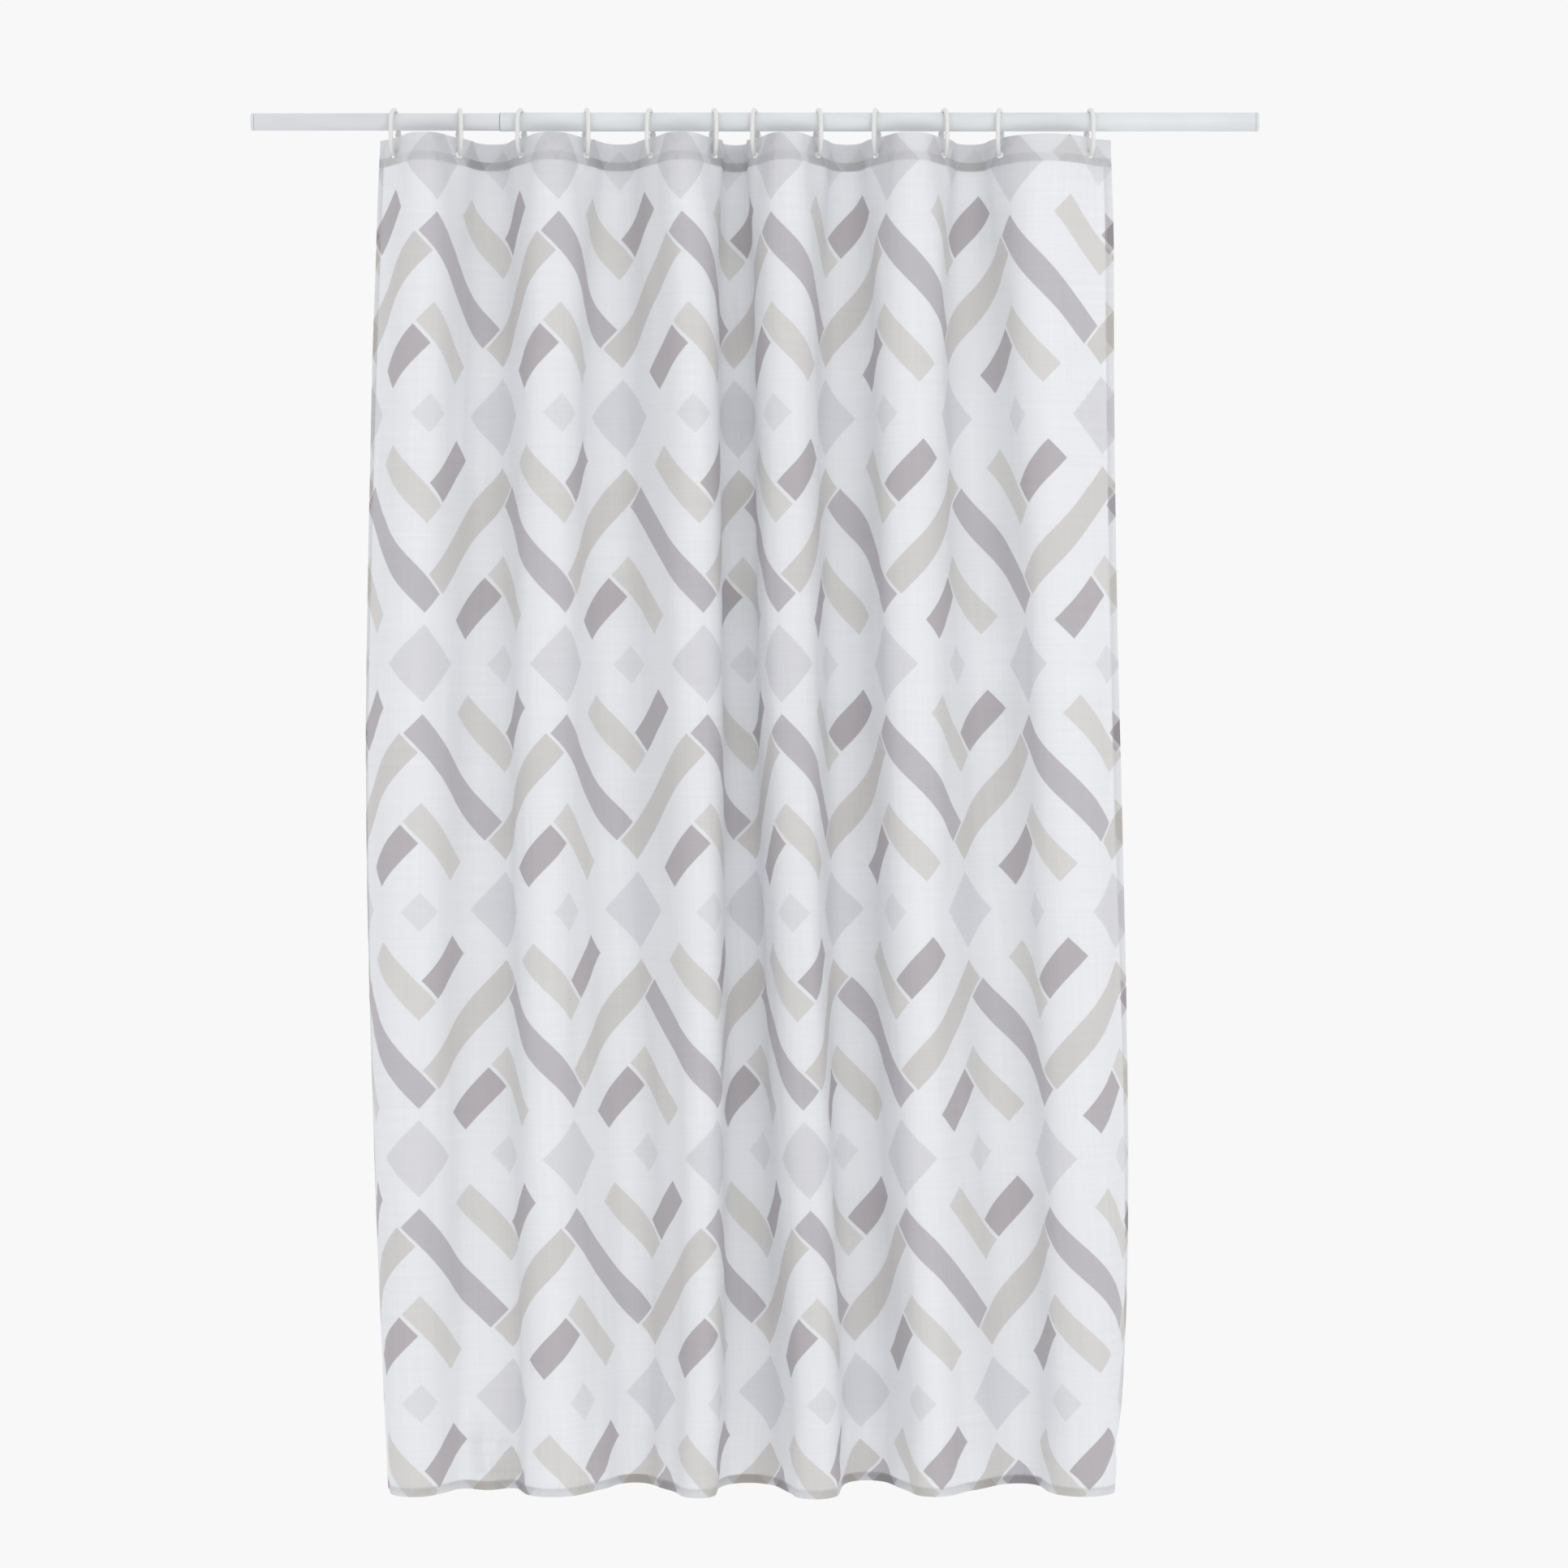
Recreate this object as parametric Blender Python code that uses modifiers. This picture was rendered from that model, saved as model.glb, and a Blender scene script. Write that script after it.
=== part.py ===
"""Shower curtain: a printed cloth panel on twelve plastic rings, on a twist-lock telescopic rod.

Metres, +Z up. The origin is the centre of the rod's right end face, +X runs out of that face
along the rod, and -Y is the curtain's printed front.
"""

import math

import bmesh
import bpy
from mathutils import Vector

# Gaps between touching pieces
FIT = 0.0003                    # between faces that touch on the real object
RUN = 0.0002                    # between the two tubes, on the radius

# Rod
OUTER_TUBE_DIAMETER = 0.025
OUTER_TUBE_LENGTH = 1.003
INNER_TUBE_LENGTH = 0.913
TUBE_WALL = 0.0008
LIP_LENGTH = 0.0020             # rolled-in mouth of the outer tube
LIP_RUN = 0.0001                # between the rolled lip and the inner tube, on the radius
PAD_THICKNESS = 0.004
PAD_SPIGOT = 0.018
PAD_CHAMFER = 0.0006
LEFT_BARE = 0.190               # bare rod left of the first ring
RIGHT_BARE = 0.2235             # bare rod right of the last ring

# Twist lock at the inner tube's end, inside the rod
CORE_SPIGOT = 0.025
CORE_FLANGE = 0.003
JOURNAL_DIAMETER = 0.009
JOURNAL_THROW = 0.001           # how far the journal stands below the rod's axis
CAM_LENGTH = 0.016
RETAINER_DIAMETER = 0.015
RETAINER_THICKNESS = 0.0025

# Rings
RING_COUNT = 12
RING_CORD = 0.006
RING_SIDE_CLEAR = 0.0045        # from the outer tube to a ring's inner side
RING_SPLIT = 0.0006             # the closed snap joint in the ring's back
RING_YAW = math.radians(9)      # a ring turns a little towards square with the cloth

# Curtain cloth
CLOTH_WIDTH = 1.800
CLOTH_DROP = 1.800
CLOTH_THICKNESS = 0.0006
HEM_THICKNESS = 0.0008          # two turned layers
EDGE_MARGIN = 0.036             # side edge to the first buttonhole
HEAD_MARGIN = 0.023             # top edge to the buttonholes' line
TOP_HEM = 0.037
BOTTOM_HEM = 0.012
SIDE_HEM = 0.012
HOLE_WIDTH = 0.016
HOLE_HEIGHT = 0.010
THREAD_WIDTH = 0.0025           # sewn border of a buttonhole
THREAD_THICKNESS = 0.0024
HOLE_REST = 0.0008              # from a ring's cord up to the hole's top edge
HEAD_CLEAR = 0.0089             # from the rod down to the cloth's top edge

# How the cloth hangs: hung width of each stretch between two rings, over its flat width
TOP_GATHER = (0.551, 0.516, 0.557, 0.535, 0.544, 0.344, 0.538, 0.487, 0.576, 0.469, 0.764)
BOTTOM_GATHER = (0.475, 0.535, 0.605, 0.575, 0.440, 0.525, 0.535, 0.560, 0.625, 0.660, 0.490)
BOW = 0.055                     # extra width of the folds at half height
BOTTOM_SHIFT = 0.011            # how far the bottom edge's middle hangs to the right
HOLE_ANGLE = math.radians(57)   # the cloth's turn from the rod's line where a ring holds it
LEFT_EDGE_ANGLE = math.radians(55)
RIGHT_EDGE_ANGLE = math.radians(12)
ROWS = (0.10, 0.25, 0.45, 0.65, 0.85)

# Fineness
TUBE_SIDES = 32
GAP_COLUMNS = 6
STEPS_PER_COLUMN = 5
ARC_STEPS = 4
RING_ARC_STEPS = 6
MERGE = 0.00001

OUTER_RADIUS = OUTER_TUBE_DIAMETER / 2
OUTER_BORE = OUTER_RADIUS - TUBE_WALL
INNER_RADIUS = OUTER_BORE - RUN
INNER_BORE = INNER_RADIUS - TUBE_WALL
PITCH = (CLOTH_WIDTH - 2 * EDGE_MARGIN) / (RING_COUNT - 1)
HUNG_SPAN = PITCH * sum(TOP_GATHER)
ROD_LENGTH = LEFT_BARE + HUNG_SPAN + RIGHT_BARE
LAST_RING_X = -RIGHT_BARE
CLOTH_TOP_Z = -OUTER_RADIUS - HEAD_CLEAR
HOLE_Z = CLOTH_TOP_Z - HEAD_MARGIN
RING_TOP_Z = OUTER_RADIUS + FIT + RING_CORD / 2
RING_BOTTOM_Z = HOLE_Z + HOLE_HEIGHT / 2 - HOLE_REST - RING_CORD / 2
RING_WIDTH = OUTER_TUBE_DIAMETER + 2 * RING_SIDE_CLEAR + 2 * RING_CORD
RING_HEIGHT = RING_TOP_Z - RING_BOTTOM_Z + RING_CORD
ALONG_ROD = (0, math.radians(90), 0)
AGAINST_ROD = (0, math.radians(-90), 0)

for old in list(bpy.data.objects):
    bpy.data.objects.remove(old, do_unlink=True)

parts = bpy.data.collections.new("shower_curtain")
cutters = bpy.data.collections.new("cutters")
bpy.context.scene.collection.children.link(parts)
bpy.context.scene.collection.children.link(cutters)


# ---------------------------------------------------------------- helpers

def material(name, color, roughness, metallic=0.0):
    """A Principled material with one plain colour."""
    made = bpy.data.materials.new(name)
    made.use_nodes = True
    shader = made.node_tree.nodes["Principled BSDF"]
    shader.inputs["Base Color"].default_value = (*color, 1.0)
    shader.inputs["Roughness"].default_value = roughness
    shader.inputs["Metallic"].default_value = metallic
    return made


def add(name, mesh, look, location=(0, 0, 0), rotation=(0, 0, 0), home=parts):
    """Put a mesh in the scene as a named object with its material."""
    made = bpy.data.objects.new(name, mesh)
    home.objects.link(made)
    made.location = location
    made.rotation_euler = rotation
    if look is not None and not mesh.materials:
        mesh.materials.append(look)
    return made


def turned(name, profile, look, location, rotation, closed=False):
    """Turn a profile of (radius, height) points round the object's local Z axis."""
    mesh = bpy.data.meshes.new(name)
    edges = [(i, i + 1) for i in range(len(profile) - 1)]
    if closed:
        edges.append((len(profile) - 1, 0))
    mesh.from_pydata([(radius, 0, height) for radius, height in profile], edges, [])
    made = add(name, mesh, look, location, rotation)
    screw = made.modifiers.new("turn", "SCREW")
    screw.steps = TUBE_SIDES
    screw.render_steps = TUBE_SIDES
    screw.use_merge_vertices = True
    screw.merge_threshold = MERGE
    screw.use_smooth_shade = False
    return made


def cylinder(name, radius, length, look, location, home=parts):
    """A capped cylinder along X, centred on its location."""
    mesh = bpy.data.meshes.new(name)
    shape = bmesh.new()
    bmesh.ops.create_cone(shape, cap_ends=True, segments=TUBE_SIDES,
                          radius1=radius, radius2=radius, depth=length)
    shape.to_mesh(mesh)
    shape.free()
    return add(name, mesh, look, location, ALONG_ROD, home)


def mesh_from_curve(curve_object):
    """Replace a curve object by a welded mesh in the same place."""
    graph = bpy.context.evaluated_depsgraph_get()
    mesh = bpy.data.meshes.new_from_object(curve_object.evaluated_get(graph))
    shape = bmesh.new()
    shape.from_mesh(mesh)
    bmesh.ops.remove_doubles(shape, verts=shape.verts, dist=MERGE)
    shape.to_mesh(mesh)
    shape.free()
    curve = curve_object.data
    bpy.data.objects.remove(curve_object)
    bpy.data.curves.remove(curve)
    return mesh


def hide_cutter(cutter):
    """Mark a cutter as construction only."""
    cutter.hide_render = True
    cutter.display_type = "WIRE"


def boolean(target, other, operation):
    """Cut one object by another, or join them."""
    modifier = target.modifiers.new(other.name, "BOOLEAN")
    modifier.operation = operation
    modifier.object = other
    hide_cutter(other)


# ---------------------------------------------------------------- materials

WHITE_PAINT = (0.80, 0.81, 0.83)
WHITE_PLASTIC = (0.84, 0.84, 0.83)
WHITE_CLOTH = (0.82, 0.83, 0.86)
WHITE_THREAD = (0.86, 0.86, 0.87)
GREY_PLASTIC = (0.45, 0.46, 0.48)


# ---------------------------------------------------------------- rod

def make_outer_tube():
    """Painted steel tube with a rolled-in mouth, open at both ends."""
    mouth = -PAD_THICKNESS - FIT - OUTER_TUBE_LENGTH
    far_end = -PAD_THICKNESS - FIT
    lip_bore = INNER_RADIUS + LIP_RUN
    profile = [
        (OUTER_RADIUS, far_end),
        (OUTER_RADIUS, mouth + LIP_LENGTH / 2),
        (OUTER_RADIUS - TUBE_WALL / 3, mouth),
        (lip_bore, mouth),
        (lip_bore, mouth + LIP_LENGTH / 2),
        (OUTER_BORE, mouth + LIP_LENGTH),
        (OUTER_BORE, far_end),
    ]
    look = material("painted_steel_outer", WHITE_PAINT, 0.35)
    return turned("outer_tube", profile, look, (0, 0, 0), ALONG_ROD, closed=True)


def make_inner_tube():
    """Painted steel tube that slides in the outer tube."""
    start = -ROD_LENGTH + PAD_THICKNESS + FIT
    profile = [
        (INNER_RADIUS, start + INNER_TUBE_LENGTH),
        (INNER_RADIUS, start),
        (INNER_BORE, start),
        (INNER_BORE, start + INNER_TUBE_LENGTH),
    ]
    look = material("painted_steel_inner", WHITE_PAINT, 0.38)
    return turned("inner_tube", profile, look, (0, 0, 0), ALONG_ROD, closed=True)


def make_end_pad(name, face_x, rotation, radius, bore):
    """Rubber pad: a flush disc that meets the wall, on a spigot in the tube."""
    spigot = bore - FIT
    profile = [
        (0, 0),
        (radius - PAD_CHAMFER, 0),
        (radius, -PAD_CHAMFER),
        (radius, -PAD_THICKNESS),
        (spigot, -PAD_THICKNESS),
        (spigot, -PAD_THICKNESS - PAD_SPIGOT + PAD_CHAMFER),
        (spigot - PAD_CHAMFER, -PAD_THICKNESS - PAD_SPIGOT),
        (0, -PAD_THICKNESS - PAD_SPIGOT),
    ]
    return turned(name, profile, material(name, WHITE_PLASTIC, 0.7), (face_x, 0, 0), rotation)


def make_twist_lock():
    """Moulded core in the inner tube's end, with an off-centre cam on its journal."""
    tube_end = -ROD_LENGTH + PAD_THICKNESS + FIT + INNER_TUBE_LENGTH
    flange_start = tube_end + FIT
    flange_end = flange_start + CORE_FLANGE
    spigot = INNER_BORE - FIT
    profile = [
        (0, flange_end),
        (INNER_RADIUS, flange_end),
        (INNER_RADIUS, flange_start),
        (spigot, flange_start),
        (spigot, tube_end - CORE_SPIGOT),
        (0, tube_end - CORE_SPIGOT),
    ]
    look = material("lock_core", GREY_PLASTIC, 0.5)
    core = turned("lock_core", profile, look, (0, 0, 0), ALONG_ROD)

    journal_length = CAM_LENGTH + 2 * FIT
    sunk = CORE_FLANGE / 2
    journal_radius = JOURNAL_DIAMETER / 2
    journal = cylinder("journal_join", journal_radius, journal_length + 2 * sunk, None,
                       (flange_end + journal_length / 2, 0, -JOURNAL_THROW), cutters)
    boolean(core, journal, "UNION")
    retainer_x = flange_end + journal_length + RETAINER_THICKNESS / 2
    retainer = cylinder("retainer_join", RETAINER_DIAMETER / 2, RETAINER_THICKNESS, None,
                        (retainer_x, 0, -JOURNAL_THROW), cutters)
    boolean(core, retainer, "UNION")

    cam_x = flange_end + FIT + CAM_LENGTH / 2
    cam_radius = OUTER_BORE - FIT - 2 * JOURNAL_THROW
    cam = cylinder("lock_cam", cam_radius, CAM_LENGTH, material("lock_cam", WHITE_PLASTIC, 0.5),
                   (cam_x, 0, -2 * JOURNAL_THROW))
    bore = cylinder("cam_bore", journal_radius + FIT / 2, CAM_LENGTH * 2, None,
                    (cam_x, 0, -JOURNAL_THROW), cutters)
    boolean(cam, bore, "DIFFERENCE")


# ---------------------------------------------------------------- rings

def ring_positions():
    """Places of the rings along the rod, from the first (left) to the last."""
    places = [LAST_RING_X]
    for share in reversed(TOP_GATHER):
        places.append(places[-1] - share * PITCH)
    return places[::-1]


def ring_path():
    """Centreline of an oval ring in its own YZ plane, from one side of its split to the other."""
    bend = (RING_WIDTH - RING_CORD) / 2
    straight = (RING_HEIGHT - RING_WIDTH) / 2
    middle = RING_TOP_Z - (RING_HEIGHT - RING_CORD) / 2
    points = [(bend, middle + RING_SPLIT / 2)]
    for start, centre in ((0, middle + straight), (math.pi, middle - straight)):
        for i in range(2 * RING_ARC_STEPS + 1):
            angle = start + math.pi * i / (2 * RING_ARC_STEPS)
            points.append((bend * math.cos(angle), centre + bend * math.sin(angle)))
    points.append((bend, middle - RING_SPLIT / 2))
    return points


def make_ring_mesh():
    """One moulded ring, round in section, as a welded mesh."""
    curve = bpy.data.curves.new("ring", "CURVE")
    curve.dimensions = "3D"
    curve.bevel_depth = RING_CORD / 2
    curve.bevel_resolution = 2
    curve.use_fill_caps = True
    path = ring_path()
    spline = curve.splines.new("POLY")
    spline.points.add(len(path) - 1)
    for point, (y, z) in zip(spline.points, path):
        point.co = (0, y, z, 1)
    return mesh_from_curve(add_curve("ring", curve))


def add_curve(name, curve):
    """Link a curve so that it can be evaluated."""
    made = bpy.data.objects.new(name, curve)
    parts.objects.link(made)
    return made


def make_rings():
    """Twelve rings; each yaws towards square with the cloth that it holds."""
    mesh = make_ring_mesh()
    look = material("ring_plastic", WHITE_PLASTIC, 0.3)
    for i, x in enumerate(ring_positions()):
        side = 1 if i % 2 == 0 else -1
        add(f"ring_{i + 1:02d}", mesh, look, (x, 0, 0), (0, 0, -side * RING_YAW))


# ---------------------------------------------------------------- cloth

def fold_swell(share):
    """Angle that makes a fold's hung width the given share of its flat width."""
    low, high = 0.0, math.pi
    steps = GAP_COLUMNS * STEPS_PER_COLUMN
    for _ in range(40):
        swell = (low + high) / 2
        total = 0.0
        for i in range(steps):
            total += math.cos(fold_angle(swell, (i + 0.5) / steps))
        if total / steps > share:
            low = swell
        else:
            high = swell
    return (low + high) / 2


def fold_angle(swell, part):
    """Turn of the cloth from the rod's line, part of the way from one ring to the next."""
    phase = math.pi * part
    return swell * math.cos(phase) - (swell - HOLE_ANGLE) * math.cos(3 * phase)


def section(level):
    """Points and tangents of the hung cloth at a level from 0 (top) to 1 (bottom).

    Returns a list of (place, tangent) pairs, one for each column of the mesh.
    """
    bow = 1 + BOW * 4 * level * (1 - level)
    shares = [(top + (bottom - top) * level) * bow
              for top, bottom in zip(TOP_GATHER, BOTTOM_GATHER)]
    middle = LAST_RING_X - HUNG_SPAN / 2 + BOTTOM_SHIFT * level
    first_x = middle - PITCH * sum(shares) / 2

    columns = []
    spot = Vector((first_x, 0.0))
    for i, share in enumerate(shares):
        swell = fold_swell(share)
        side = -1 if i % 2 == 0 else 1
        steps = GAP_COLUMNS * STEPS_PER_COLUMN
        for step in range(steps):
            if step % STEPS_PER_COLUMN == 0:
                turn = side * fold_angle(swell, step / steps)
                columns.append((spot.copy(), Vector((math.cos(turn), math.sin(turn)))))
            turn = side * fold_angle(swell, (step + 0.5) / steps)
            spot += Vector((math.cos(turn), math.sin(turn))) * (PITCH / steps)
    end_turn = HOLE_ANGLE * (1 if RING_COUNT % 2 == 0 else -1)
    columns.append((spot.copy(), Vector((math.cos(end_turn), math.sin(end_turn)))))

    left = margin(columns[0][0], -HOLE_ANGLE, -LEFT_EDGE_ANGLE, -1)
    right = margin(columns[-1][0], end_turn, math.copysign(RIGHT_EDGE_ANGLE, end_turn), 1)
    return left[::-1] + columns + right


def margin(start, start_turn, end_turn, way):
    """Columns from the outermost ring to the cloth's side edge, without the first."""
    columns = []
    spot = start.copy()
    done = 0.0
    for length in (EDGE_MARGIN - SIDE_HEM, SIDE_HEM):
        part = (done + length / 2) / EDGE_MARGIN
        turn = start_turn + (end_turn - start_turn) * part
        heading = Vector((math.cos(turn), math.sin(turn)))
        spot += way * heading * length
        done += length
        columns.append((spot.copy(), heading))
    return columns


def sheet(name, levels, columns, offset, thickness, look):
    """Cloth strip over the given levels and columns, set back from the front layer."""
    mesh = bpy.data.meshes.new(name)
    grid = []
    for level in levels:
        row = section(level)[columns]
        z = CLOTH_TOP_Z - CLOTH_DROP * level
        for spot, heading in row:
            back = Vector((-heading.y, heading.x))
            place = spot + back * offset
            grid.append((place.x, place.y, z))
    width = len(row)
    faces = []
    for r in range(len(levels) - 1):
        for c in range(width - 1):
            corner = r * width + c
            faces.append((corner, corner + width, corner + width + 1, corner + 1))
    mesh.from_pydata(grid, [], faces)
    made = add(name, mesh, look)
    solidify = made.modifiers.new("thickness", "SOLIDIFY")
    solidify.thickness = thickness
    solidify.offset = 0
    return made


def stadium(curve, width, height):
    """Add a closed oblong outline with round ends to a flat curve."""
    radius = height / 2
    straight = (width - height) / 2
    outline = []
    for end in (1, -1):
        for i in range(2 * ARC_STEPS + 1):
            angle = -math.pi / 2 + math.pi * i / (2 * ARC_STEPS)
            outline.append((end * (straight + radius * math.cos(angle)),
                            end * radius * math.sin(angle)))
    spline = curve.splines.new("POLY")
    spline.points.add(len(outline) - 1)
    for point, (x, y) in zip(spline.points, outline):
        point.co = (x, y, 0, 1)
    spline.use_cyclic_u = True


def flat_mesh(name, outlines, thickness):
    """Flat plate between oblong outlines, the first outside and any other a hole in it."""
    curve = bpy.data.curves.new(name, "CURVE")
    curve.dimensions = "2D"
    curve.fill_mode = "BOTH"
    curve.extrude = thickness / 2
    for width, height in outlines:
        stadium(curve, width, height)
    return mesh_from_curve(add_curve(name, curve))


def make_curtain():
    """Front cloth layer, its turned hems and the sewn buttonholes."""
    cloth = material("printed_cloth", WHITE_CLOTH, 0.8)
    hem_top = TOP_HEM / CLOTH_DROP
    hem_bottom = 1 - BOTTOM_HEM / CLOTH_DROP
    seam = FIT / CLOTH_DROP
    hem_offset = CLOTH_THICKNESS / 2 + FIT + HEM_THICKNESS / 2

    panel = sheet("curtain_panel", (0, hem_top, *ROWS, hem_bottom, 1), slice(None),
                  0, CLOTH_THICKNESS, cloth)
    top_hem = sheet("top_hem", (0, hem_top), slice(None), hem_offset, HEM_THICKNESS, cloth)
    sheet("bottom_hem", (hem_bottom, 1), slice(None), hem_offset, HEM_THICKNESS, cloth)
    between = (hem_top + seam, *ROWS, hem_bottom - seam)
    sheet("left_side_hem", between, slice(0, 2), hem_offset, HEM_THICKNESS, cloth)
    sheet("right_side_hem", between, slice(-2, None), hem_offset, HEM_THICKNESS, cloth)

    thread = material("buttonhole_thread", WHITE_THREAD, 0.7)
    outer = (HOLE_WIDTH + 2 * THREAD_WIDTH, HOLE_HEIGHT + 2 * THREAD_WIDTH)
    cut = (outer[0] + 2 * FIT, outer[1] + 2 * FIT)
    border_mesh = flat_mesh("buttonhole", [outer, (HOLE_WIDTH, HOLE_HEIGHT)], THREAD_THICKNESS)
    cut_mesh = flat_mesh("buttonhole_cut", [cut], THREAD_THICKNESS * 3)
    layers_middle = (FIT + HEM_THICKNESS) / 2
    for i, x in enumerate(ring_positions()):
        turn = -HOLE_ANGLE if i % 2 == 0 else HOLE_ANGLE
        back = Vector((-math.sin(turn), math.cos(turn), 0)) * layers_middle
        place = Vector((x, 0, HOLE_Z)) + back
        facing = (math.radians(90), 0, turn)
        add(f"buttonhole_{i + 1:02d}", border_mesh, thread, place, facing)
        cutter = add(f"buttonhole_cut_{i + 1:02d}", cut_mesh, None, place, facing, cutters)
        boolean(panel, cutter, "DIFFERENCE")
        boolean(top_hem, cutter, "DIFFERENCE")


make_outer_tube()
make_inner_tube()
make_end_pad("right_end_pad", 0, ALONG_ROD, OUTER_RADIUS, OUTER_BORE)
make_end_pad("left_end_pad", -ROD_LENGTH, AGAINST_ROD, INNER_RADIUS, INNER_BORE)
make_twist_lock()
make_rings()
make_curtain()
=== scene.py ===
import math

import bmesh
import bpy
import numpy as np
from mathutils import Matrix, Vector


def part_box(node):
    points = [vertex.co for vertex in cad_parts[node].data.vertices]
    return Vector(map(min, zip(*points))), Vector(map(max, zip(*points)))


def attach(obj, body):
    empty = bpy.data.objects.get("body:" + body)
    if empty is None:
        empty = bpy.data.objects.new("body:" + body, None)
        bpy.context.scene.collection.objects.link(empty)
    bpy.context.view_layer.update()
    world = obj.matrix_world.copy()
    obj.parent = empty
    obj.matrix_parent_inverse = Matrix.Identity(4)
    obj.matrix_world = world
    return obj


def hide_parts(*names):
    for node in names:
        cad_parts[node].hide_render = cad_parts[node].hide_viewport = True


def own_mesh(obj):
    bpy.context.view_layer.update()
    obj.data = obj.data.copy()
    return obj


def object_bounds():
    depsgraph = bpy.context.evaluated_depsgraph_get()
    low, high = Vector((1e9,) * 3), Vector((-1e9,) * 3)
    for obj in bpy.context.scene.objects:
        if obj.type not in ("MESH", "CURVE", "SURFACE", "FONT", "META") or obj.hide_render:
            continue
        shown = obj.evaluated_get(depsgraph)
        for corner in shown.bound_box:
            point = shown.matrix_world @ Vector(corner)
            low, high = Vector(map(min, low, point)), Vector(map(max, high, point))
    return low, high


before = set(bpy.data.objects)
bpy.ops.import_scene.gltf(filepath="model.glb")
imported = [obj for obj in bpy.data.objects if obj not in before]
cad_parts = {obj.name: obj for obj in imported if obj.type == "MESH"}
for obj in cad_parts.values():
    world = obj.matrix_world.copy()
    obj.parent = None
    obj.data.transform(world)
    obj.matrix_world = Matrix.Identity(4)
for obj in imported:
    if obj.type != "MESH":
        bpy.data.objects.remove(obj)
cadLow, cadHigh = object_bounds()
print("frame loaded,", len(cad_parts), "nodes")

mm = 0.001
ringNames = [f"ring_{i + 1:02d}" for i in range(12)]
ringX = [(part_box(name)[0][0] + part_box(name)[1][0]) / 2 for name in ringNames]


def deselectAll():
    if bpy.context.object and bpy.context.object.mode != "OBJECT":
        bpy.ops.object.mode_set(mode="OBJECT")
    bpy.ops.object.select_all(action="DESELECT")


def selectOnly(piece):
    deselectAll()
    piece.select_set(True)
    bpy.context.view_layer.objects.active = piece


def newest(name):
    # the primitive that was just added, named and alone in the selection
    piece = bpy.context.object
    piece.name = name
    piece.data.name = name
    return piece


def pick(piece, kind, test):
    # select faces or edges by a test on their middle, and stay in edit mode
    bpy.context.view_layer.objects.active = piece
    bpy.ops.object.mode_set(mode="EDIT")
    bpy.ops.mesh.select_mode(type=kind)
    bpy.ops.mesh.select_all(action="DESELECT")
    shape = bmesh.from_edit_mesh(piece.data)
    for item in shape.faces if kind == "FACE" else shape.edges:
        if kind == "FACE":
            middle = item.calc_center_median()
        else:
            middle = (item.verts[0].co + item.verts[1].co) / 2
        if test(middle):
            item.select_set(True)
    shape.select_flush_mode()
    bmesh.update_edit_mesh(piece.data)


def settle(piece):
    # back to object mode with the place baked into the mesh
    selectOnly(piece)
    bpy.ops.object.transform_apply(location=True, rotation=True, scale=True)


def applyModifier(piece, kind, **settings):
    selectOnly(piece)
    modifier = piece.modifiers.new(kind.lower(), kind)
    for name, value in settings.items():
        setattr(modifier, name, value)
    bpy.ops.object.modifier_apply(modifier=modifier.name)


def smoothByAngle(piece, degrees):
    selectOnly(piece)
    bpy.ops.object.shade_smooth_by_angle(angle=math.radians(degrees))


def linked(name, data):
    # an object for a finished mesh, a lamp or a camera, at the origin
    piece = bpy.data.objects.new(name, data)
    bpy.context.scene.collection.objects.link(piece)
    return piece


def dress(piece, *materials):
    piece.data.materials.clear()
    for material in materials:
        piece.data.materials.append(material)


def linear(code):
    # sRGB hex to the linear colour that nodes want
    values = [int(code[i:i + 2], 16) / 255 for i in (1, 3, 5)]
    return [v / 12.92 if v <= 0.04045 else ((v + 0.055) / 1.055) ** 2.4 for v in values] + [1.0]


def addNode(tree, kind, inputs=(), **settings):
    # add a node, set its properties, then set or link its inputs, given in order or by name
    # a node given as an input is linked by its first output
    node = tree.nodes.new(kind)
    for name, value in settings.items():
        setattr(node, name, value)
    for name, value in inputs.items() if isinstance(inputs, dict) else enumerate(inputs):
        if isinstance(value, bpy.types.Node):
            value = value.outputs[0]
        if isinstance(value, bpy.types.NodeSocket):
            tree.links.new(value, node.inputs[name])
        else:
            node.inputs[name].default_value = value
    return node


def newMaterial(name):
    material = bpy.data.materials.new(name)
    material.use_nodes = True
    material.node_tree.nodes.clear()
    return material, material.node_tree


steelTube = {
    "shade": 0.90,        # how much greyer the paint clouds, where it is thin
    "cloudSize": 111.0,   # mm
    "scuff": "#a9abae",
    "scuffSize": 7.0,     # mm
    "roughness": 0.36,
    "peelSize": 1.6,      # mm, orange peel of the powder coat
    "peelDepth": 0.02,
}


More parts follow.
